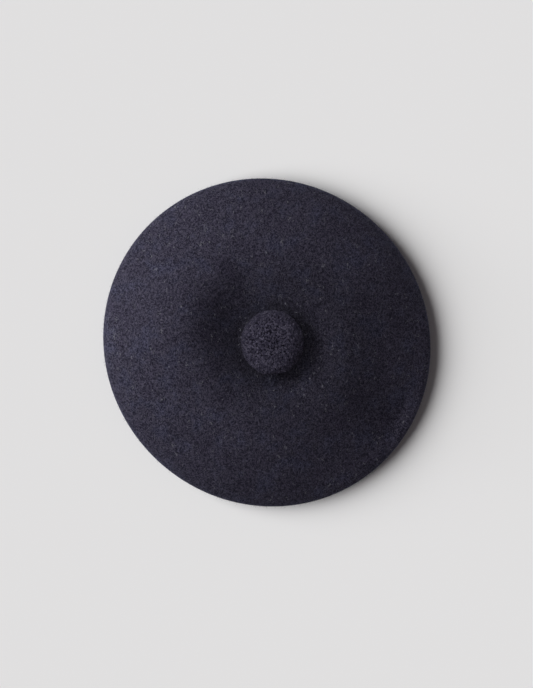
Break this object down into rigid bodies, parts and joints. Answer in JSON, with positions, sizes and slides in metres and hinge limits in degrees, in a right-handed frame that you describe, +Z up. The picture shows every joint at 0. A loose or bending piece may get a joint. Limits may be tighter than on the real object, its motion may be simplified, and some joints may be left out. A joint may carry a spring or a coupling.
{
  "type": "wool beret with a pompom",
  "caption": "Round flat beret of felted navy wool lying crown up, its soft crown dipped round a clipped yarn pompom, with a ribbon sweatband inside the head opening.",
  "frame": {"origin": "middle of the underside, on the surface that the beret rests on with its crown up", "axes": "+Z up through the crown, the back of the head opening towards +Y and the front towards -Y"},
  "size_m": [0.2746, 0.2754, 0.0722],
  "materials": {
    "wool_felt": "fulled wool, matt with a short nap",
    "stay_felt": "pressed felt",
    "button": "satin, horn look",
    "sewing_thread": "twisted polyester thread",
    "tie_cord": "twisted cotton cord",
    "pompom_yarn": "cut wool pile",
    "ribbon": "ribbed ribbon with a low sheen",
    "woven_label": "blank damask label",
    "care_tape": "blank satin tape"
  },
  "bodies": {
    "hat": {"wool_shell": "wool_felt", "stay_patch": "stay_felt", "stay_button": "button", "anchor_stitch_front": "sewing_thread", "anchor_stitch_back": "sewing_thread", "sweatband": "ribbon", "hem_seam": "sewing_thread", "band_join_stitch": "sewing_thread", "back_label": "woven_label", "back_label_stitch_left": "sewing_thread", "back_label_stitch_right": "sewing_thread", "care_label_stitch": "sewing_thread"},
    "neck": {"thread_neck": "sewing_thread"},
    "pompom": {"pompom": "pompom_yarn", "pompom_tie": "tie_cord"},
    "care_label": {"care_label": "care_tape"}
  },
  "joints": [
    {"name": "pompom_nod", "type": "hinge", "parent": "hat", "child": "neck", "pos_m": [0.0045, 0, 0.0268], "axis": [1, 0, 0], "range_deg": [-10, 10], "stiffness_Nm_per_rad": 0.02},
    {"name": "pompom_sway", "type": "hinge", "parent": "neck", "child": "pompom", "pos_m": [0.0045, 0, 0.0268], "axis": [0, 1, 0], "range_deg": [-10, 10], "stiffness_Nm_per_rad": 0.02},
    {"name": "care_label_flip", "type": "hinge", "parent": "hat", "child": "care_label", "pos_m": [0.05993, 0.06656, 0.0188], "axis": [-0.7431, 0.6691, 0], "range_deg": [0, 110]}
  ]
}
